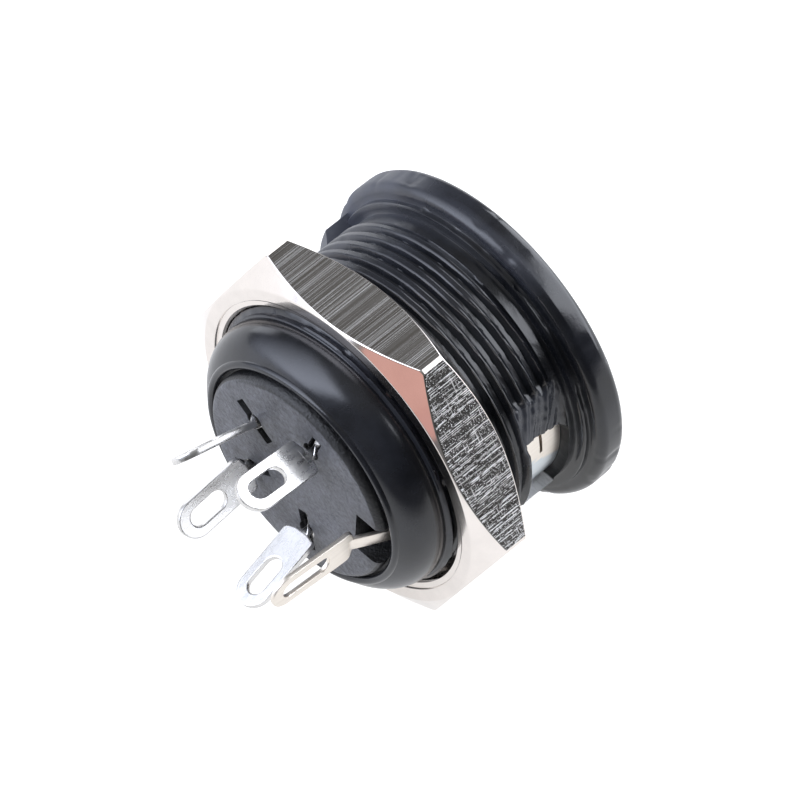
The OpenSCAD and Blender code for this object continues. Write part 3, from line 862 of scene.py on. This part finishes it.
def lug_section(near, far, half, edge):
    """Ring around a lug's sheet between its hole and its outline, as (distance, height).

    Places close to the rounded edges keep the flats flat, and the middle is dished a little.
    """
    hold, corner = edge + 0.05, 0.3 * edge
    dish = min(0.3, (far - near) * 0.45)
    top = [(near, half - edge), (near + corner, half - corner), (near + edge, half), (near + hold, half)]
    middle = near + dish
    top += [(middle, half), (far - hold, half), (far - edge, half)]
    top += [(far - corner, half - corner), (far, half - edge)]
    ring = top + [(s, -w) for s, w in top[::-1]]
    return [(s, w + 0.003 if s == middle else w) for s, w in ring]


def add_lug(bm, length, hole_l, thick, edge, to_world, seed):
    """Adds a stamped solder lug with a rounded tip and a wire hole, facing local X and rising along Z."""
    wide, shoulder, hole_r = LUG_W / 2, (LUG_W - LUG_NECK) / 8, HOLE_W / 2
    top = length - LUG_RIM - hole_r
    low = top - hole_l + HOLE_W
    corner = [(LUG_NECK / 2, -0.05), (wide - 0.12, shoulder - 0.07), (wide, shoulder + 0.1)]
    outer = corner + arc(0, length - wide, wide, 0, 180, 28) + [(-x, y) for x, y in corner[::-1]]
    hole = arc(0, top, hole_r, 0, 180, 16) + arc(0, low, hole_r, 180, 360, 16)
    middle = (0.0, (top + low) / 2)
    rays = sorted({round(math.atan2(y - middle[1], x), 6) for x, y in outer + hole})
    rays = [t for k, t in enumerate(rays) if k == 0 or t - rays[k - 1] > 0.012]
    part = bmesh.new()
    rings = []
    for t in rays:
        d = (math.cos(t), math.sin(t))
        near, far = outline_hit(hole, middle, d), outline_hit(outer, middle, d)
        ring = []
        for s, w in lug_section(near, far, thick / 2, edge):
            u, v = middle[0] + d[0] * s, middle[1] + d[1] * s
            # slight waviness, and a bend at the shoulder
            wave = 0.01 * noise.noise(Vector((u * 0.5, v * 0.4, seed * 7.3)))
            bend = 0.03 * max(1 - v / 1.4, 0) ** 2
            ring.append(part.verts.new((w + wave - bend, u, v)))
        rings.append(ring)
    skin(part, rings, closed=True)
    pour(part, bm, to_world)


def add_strip(bm, stations, to_world):
    """Adds a strip through stations of (centre, across, through, width, thickness), with rounded edges."""
    part = bmesh.new()
    rings = []
    for centre, across, through, w, t in stations:
        c = min(0.07, t * 0.3)
        corner = [(w / 2 - c, t / 2), (w / 2 - c * 0.3, t / 2 - c * 0.3), (w / 2, t / 2 - c)]
        loop = corner + [(x, -y) for x, y in corner[::-1]]
        loop += [(-x, y) for x, y in loop[::-1]]
        rings.append([part.verts.new(centre + across * x + through * y) for x, y in loop])
    skin(part, rings, closed=False)
    part.faces.new(rings[0])
    part.faces.new(rings[-1])
    pour(part, bm, to_world)


class SOCKET_OT_contacts(bpy.types.Operator):
    """Builds the four socket contacts: split sleeve, strip, twisted neck and solder lug"""

    bl_idname = "socket.contacts"
    bl_label = "Contacts"

    def execute(self, context):
        edge = context.scene.socket_sizes.edge / MM
        metal = tinned_brass(tuple(context.scene.socket_colours.tin))
        half = 180 - math.degrees(math.asin(SLEEVE_SLOT / (SLEEVE_OUT + SLEEVE_IN)))
        ring = arc(0, 0, SLEEVE_OUT, -half, half, 40) + arc(0, 0, SLEEVE_IN, half, -half, 40)
        cap = arc(0, 0, SLEEVE_OUT, 0, 350, 35)
        signs = (-1, -1), (1, -1), (1, 1), (-1, 1)
        strip = [(x * LUG_W / 2, y * STRIP_T / 2) for x, y in signs]
        for k, turn in enumerate(CONTACT_TURNS):
            place = key_frame(turn) @ Matrix.Translation((CONTACT_CIRCLE, 0, 0))
            bm = bmesh.new()
            prism(bm, ring, SLEEVE_START, SLEEVE_END, place, STAMPED_EDGE)
            prism(bm, cap, CAP_START, CAP_END, place, STAMPED_EDGE)
            prism(bm, strip, STRIP_START, STRIP_END, place, STAMPED_EDGE)
            # neck that twists by a quarter turn, and ends inside the leaning lug
            stations = []
            for f in np.linspace(0, 1, 13):
                t = math.radians(-90 * f)
                across = Vector((math.cos(t), math.sin(t), 0))
                through = Vector((-math.sin(t), math.cos(t), 0))
                centre = Vector((0, 0, TWIST_START + f * TWIST_RISE))
                stations.append((centre, across, through, LUG_NECK, STRIP_T - 0.01))
            lean = tilt(*LUG_LEANS[k])
            across, through = (lean.to_3x3() @ Vector(d) for d in ((0, -1, 0), (1, 0, 0)))
            centre = lean @ Vector((0, 0, 0.35)) + Vector((0, 0, LUG_START))
            stations.append((centre, across, through, LUG_NECK, STRIP_T - 0.02))
            add_strip(bm, stations, place)
            root = place @ Matrix.Translation((0, 0, LUG_START)) @ lean
            add_lug(bm, LUG_L, HOLE_L, STRIP_T, edge, root, k + 1)
            piece(f"socket_contact_{k + 1}", to_mesh(bm, "contact"), "socket",
                  [f"contact_{k + 1}"], [metal], sharp=40)
        return {"FINISHED"}


def add_tube(bm):
    """Adds the shield's tube, with grid lines along its slit's edges, so the slit is left-out cells."""
    lip, trim = 0.05, 0.04
    rows = [SHIELD_START, SHIELD_START + lip, 1.0, SLIT_LOW, SLIT_HIGH, 5.0, 8.0]
    rows += [DISC_START - lip, DISC_START]
    insets = [trim, *[0.0] * (len(rows) - 2), trim]
    section = [(SHIELD_IN + d, y) for d, y in zip(insets, rows)]
    section += [(SHIELD_OUT - d, y) for d, y in zip(insets, rows)][::-1]
    slit = [KEY_TURN + math.degrees(math.asin(side / SHIELD_MID)) for side in SLIT_SIDES]
    even = np.linspace(0, 360, 144, endpoint=False)
    turns = sorted([t for t in even if min(abs(t - e) for e in slit) > 1] + slit)
    rings = [[bm.verts.new(point(r, y, t)) for r, y in section] for t in turns]
    skin(bm, rings, closed=True)
    low = rows.index(SLIT_LOW)
    gone = []
    for j in range(turns.index(slit[0]), turns.index(slit[1])):
        a, b = rings[j], rings[j + 1]
        gone += [bm.faces.get((a[k], b[k], b[k + 1], a[k + 1])) for k in (low, len(section) - 2 - low)]
    bmesh.ops.delete(bm, geom=gone, context="FACES")
    bmesh.ops.bridge_loops(bm, edges=[e for e in bm.edges if e.is_boundary])
    bmesh.ops.recalc_face_normals(bm, faces=bm.faces)


def add_pad(bm):
    """Adds the shield's pressed-out latch pad, which fills the window, with a slit across it."""
    out, around = key_axes()
    wall = 0.012
    low, high = WINDOW_LOW + PAD_GAP, WINDOW_HIGH - PAD_GAP
    slit = [PAD_SLIT_LOW - wall, PAD_SLIT_LOW, PAD_SLIT_HIGH, PAD_SLIT_HIGH + wall]
    part = bmesh.new()
    rings = []
    for y in sorted([*np.linspace(low, high, 8), *slit]):
        across = [*np.linspace(torn_edge(y) + PAD_GAP, PAD_SLIT_END, 12)]
        across += [*np.linspace(PAD_SLIT_END + wall, PAD_END, 24)]
        # over the top, and back underneath
        ring = []
        for radius, u in [(PAD_R, u) for u in across] + [(PAD_ROOT, u) for u in across[::-1]]:
            bend = max(u - WINDOW_SIDE + WINDOW_ROUND, 0)
            trim = WINDOW_ROUND - math.sqrt(WINDOW_ROUND**2 - bend**2)
            cut = radius == PAD_R and PAD_SLIT_LOW <= y <= PAD_SLIT_HIGH and u <= PAD_SLIT_END
            depth = math.sqrt((radius - PAD_SLIT_DEEP * cut) ** 2 - u * u)
            along = Vector((0, min(max(y, low + trim), high - trim), 0))
            ring.append(part.verts.new(out * depth + around * u + along))
        rings.append(ring)
    skin(part, rings, closed=False)
    for ring in (rings[0], rings[-1]):
        for i in range(len(across) - 1):
            part.faces.new((ring[i], ring[i + 1], ring[-2 - i], ring[-1 - i]))
    bmesh.ops.remove_doubles(part, verts=part.verts, dist=0.0005)
    pour(part, bm)


def add_earth(bm, edge):
    """Adds the earth strip, up the shield's wall and then sloping inward, and its solder lug."""
    place, across, up, out = key_frame(0), Vector((0, 1, 0)), Vector((0, 0, 1)), Vector((1, 0, 0))
    knee, tip = Vector((SHIELD_MID, 0, EARTH_KNEE)), Vector((SHIELD_MID - EARTH_IN, 0, EARTH_END))
    slope = (tip - knee).normalized()
    centres = [(Vector((SHIELD_MID, 0, z)), out) for z in (10.6, 11.6, 12.0)]
    for f in (0.25, 0.6, 1.0):
        d = up.lerp(slope, f).normalized()
        centres.append((knee + slope * (0.12 * f), Vector((d.z, 0, -d.x))))
    for f in (0.5, 0.9, 1.0):
        centres.append((knee.lerp(tip, f), Vector((slope.z, 0, -slope.x))))
    stations = [(centre, across, through, LUG_NECK, EARTH_T) for centre, through in centres]
    lean = tilt(-2, -2)
    end, through = tip + lean @ Vector((0, 0, 0.3)), lean.to_3x3() @ out
    stations.append((end, across, through, LUG_NECK, EARTH_T - 0.02))
    add_strip(bm, stations, place)
    root = place @ Matrix.Translation(tip) @ lean
    add_lug(bm, EARTH_L, EARTH_HOLE, EARTH_T, edge, root, 6)


class SOCKET_OT_shield(bpy.types.Operator):
    """Builds the plug shield with its latch slit, latch pad and earth lug"""

    bl_idname = "socket.shield"
    bl_label = "Plug Shield"

    def execute(self, context):
        bm = bmesh.new()
        add_tube(bm)
        add_pad(bm)
        add_earth(bm, context.scene.socket_sizes.edge / MM)
        mesh = to_mesh(bm, "shield")
        # the pad gets the painted reflection of the shaded floor below a slanting line
        bare = mesh.attributes.new("bare", "FLOAT", "POINT")
        around = key_axes()[1]
        for v in mesh.vertices:
            co = v.co / MM
            padded = math.hypot(co.x, co.z) > SHIELD_OUT + 0.1 and co.y < WINDOW_HIGH
            line = np.interp(co.y, (WINDOW_LOW, WINDOW_HIGH), (1.08, -0.4))
            bare.data[v.index].value = float(padded and co.dot(around) > line)
        piece("plug_shield", mesh, "socket", ["shield"],
              [plated_shield(tuple(context.scene.socket_colours.shield))], sharp=40)
        return {"FINISHED"}


# Stage


def panel_light(name, turn, rise, width, height, glow, colour, fades, distance=0.5, only=None):
    """Soft light seen from the part at an angle about Z from +X towards +Y, and a rise from level.

    Its brightness fades out over shares of its width at its first and last edge as the angle grows, and of
    its height at its foot and head. A light with flags around it reaches only one piece.
    """
    a, e = math.radians(turn), math.radians(rise)
    d = Vector((math.cos(a) * math.cos(e), math.sin(a) * math.cos(e), math.sin(e)))
    lamp = bpy.data.lights.new(name, "AREA")
    lamp.shape, lamp.size, lamp.size_y = "RECTANGLE", width, height
    lamp.energy = glow * math.pi * width * height
    lamp.color = colour
    lamp.use_nodes = True
    t = lamp.node_tree
    across = add_node(t, "SeparateXYZ", [add_node(t, "NewGeometry", out="Parametric")]).node.outputs
    level = 1.0
    for axis, edge, share in zip("XXYY", (0, 1, 0, 1), fades):
        ends = across[axis], edge, abs(edge - share)
        step = add_node(t, "MapRange", ends, interpolation_type="SMOOTHSTEP")
        level = add_node(t, "Math", (step, level), operation="MULTIPLY")
    t.links.new(level, t.nodes["Emission"].inputs["Strength"])
    obj = add_object(name, lamp)
    obj.location = d * distance + Vector((0, 0.005, 0))
    obj.rotation_euler = d.to_track_quat("Z", "Y").to_euler()
    obj.visible_camera = False
    if only:
        lit = bpy.data.collections.new(name)
        lit.objects.link(bpy.data.objects[only])
        obj.light_linking.receiver_collection = lit


def add_camera(scene):
    """Puts the camera at the photograph's viewing angle, and gives the direction back to it."""
    cam = bpy.data.cameras.new("camera")
    cam.sensor_width, cam.lens = SENSOR, FOCAL * SENSOR / IMAGE_SIDE
    cam.clip_start, cam.clip_end = 0.02, 20
    eye = add_object("camera", cam)
    az, el, roll = (math.radians(v) for v in (VIEW_TURN, VIEW_RISE, VIEW_ROLL))
    back = Vector((math.sin(az) * math.cos(el), -math.cos(az) * math.cos(el), math.sin(el)))
    level = Vector((0, 0, 1)).cross(back).normalized()
    rise = back.cross(level)
    right = math.cos(roll) * level + math.sin(roll) * rise
    up = math.cos(roll) * rise - math.sin(roll) * level
    pixel = VIEW_DISTANCE / FOCAL
    aside, above = (AIM_ACROSS - IMAGE_SIDE / 2) * pixel, (IMAGE_SIDE / 2 - AIM_DOWN) * pixel
    spot = Vector((0, AIM_Y * MM, 0)) + back * VIEW_DISTANCE - right * aside - up * above
    eye.matrix_world = Matrix.Translation(spot) @ Matrix((right, up, back)).transposed().to_4x4()
    scene.camera = eye
    return back


def add_floor(scene, back):
    """Lays the part on a round light table, dim in reflections towards the room behind the camera."""
    mesh = bpy.data.meshes.new("floor")
    turns = np.linspace(0, 2 * math.pi, 64, endpoint=False)
    rim = [(FLOOR_R * math.cos(t), FLOOR_R * math.sin(t), CAD_BOX[0][2]) for t in turns]
    mesh.from_pydata(rim, [], [list(range(len(rim)))])
    floor = add_object("floor", mesh)
    towards = tuple((back * Vector((1, 1, 0))).normalized())
    colour = tuple(scene.socket_colours.floor)
    mesh.materials.append(opal_acrylic(colour, scene.socket_stage.table, towards))


def add_lights(glow):
    """Hangs the softbox beyond the lugs, the panel in front of the flange, and the cards.

    Each has its turn and rise in degrees, its width and height in metres, its brightness, colour and fades.
    """
    cool, even = linear("#f2f6ff"), (0.2, 0.2, 0.2, 0.2)
    panel_light("softbox", 36, 38, 0.8, 0.94, glow.softbox, linear("#e6edff"), (1.0, 0.12, 0.25, 0.3))
    panel_light("front_panel", 252, 27, 0.86, 0.6, glow.panel, cool, (0.1, 0.12, 0.1, 0.08))
    panel_light("side_card", 345, 0, 0.26, 0.46, glow.side, cool, (0.25, 0.25, 0.25, 0.25))
    panel_light("low_card", 188, 4, 0.4, 0.4, glow.low, cool, even, only="socket_contact_2")
    panel_light("high_card", 254, 61, 0.5, 0.4, glow.low * 0.5, cool, even, only="socket_contact_3")
    # small and near, for the salmon reflection in one chamfer of the nut
    warm, crisp = linear("#ffae9f"), (0.02, 0.02, 0.02, 0.02)
    panel_light("warm_card", 92.8, 6.0, 0.05, 0.032, 0.54, warm, crisp, distance=0.09, only="clamp_nut")


def add_room(scene, glow):
    """Surrounds the stage with a grey room, darkest low behind the camera and palest overhead.

    The camera itself sees white.
    """
    world = bpy.data.worlds.new("studio")
    world.use_nodes = True
    scene.world = world
    w = world.node_tree
    aim = add_node(w, "SeparateXYZ", [add_node(w, "TexCoord", out="Generated")]).node.outputs
    height = add_node(w, "MapRange", (aim["Z"], 0.75, 1, 1.0, 2.2))
    side = add_node(w, "MapRange", (aim["X"], -0.9, -0.3, glow * 0.25, glow))
    dim = add_node(w, "Math", (height, side), operation="MULTIPLY")
    seen = add_node(w, "LightPath", out="Is Camera Ray")
    room = add_node(w, "Mix", {0: seen, 2: dim, 3: 1.0})
    w.links.new(room, w.nodes["Background"].inputs["Color"])


class SOCKET_OT_stage(bpy.types.Operator):
    """Sets up the camera, the pale floor and the studio light"""

    bl_idname = "socket.stage"
    bl_label = "Stage"

    def execute(self, context):
        scene = context.scene
        back = add_camera(scene)
        add_floor(scene, back)
        add_lights(scene.socket_stage)
        add_room(scene, scene.socket_stage.room)
        scene.view_settings.view_transform = "Standard"
        return {"FINISHED"}


class SOCKET_PT_pieces(bpy.types.Panel):
    """Lists the socket's pieces and settings"""

    bl_idname = "SOCKET_PT_pieces"
    bl_label = "Panel Socket"
    bl_space_type = "VIEW_3D"
    bl_region_type = "UI"
    bl_category = "Socket"

    def draw(self, context):
        for op in OPERATORS:
            self.layout.operator(op.bl_idname)
        for group in GROUPS:
            settings = getattr(context.scene, group)
            for name in settings.__annotations__:
                self.layout.prop(settings, name)


GROUPS = {"socket_sizes": SocketSizes, "socket_colours": SocketColours, "socket_stage": StageSettings}
PIECES = SOCKET_OT_barrel, SOCKET_OT_nut, SOCKET_OT_insert, SOCKET_OT_contacts, SOCKET_OT_shield
OPERATORS = (*PIECES, SOCKET_OT_stage)


def register():
    """Makes the settings, operators and panel known to Blender."""
    for name, group in GROUPS.items():
        bpy.utils.register_class(group)
        setattr(bpy.types.Scene, name, PointerProperty(type=group))
    for c in (*OPERATORS, SOCKET_PT_pieces):
        bpy.utils.register_class(c)


def unregister():
    """Takes them out again."""
    for c in (SOCKET_PT_pieces, *OPERATORS[::-1]):
        bpy.utils.unregister_class(c)
    for name, group in GROUPS.items():
        delattr(bpy.types.Scene, name)
        bpy.utils.unregister_class(group)


def main():
    """Builds every piece and the stage."""
    register()
    bpy.ops.socket.barrel()
    bpy.ops.socket.nut()
    bpy.ops.socket.insert()
    bpy.ops.socket.contacts()
    bpy.ops.socket.shield()
    bpy.ops.socket.stage()
    bpy.context.view_layer.update()


if __name__ == "__main__":
    main()
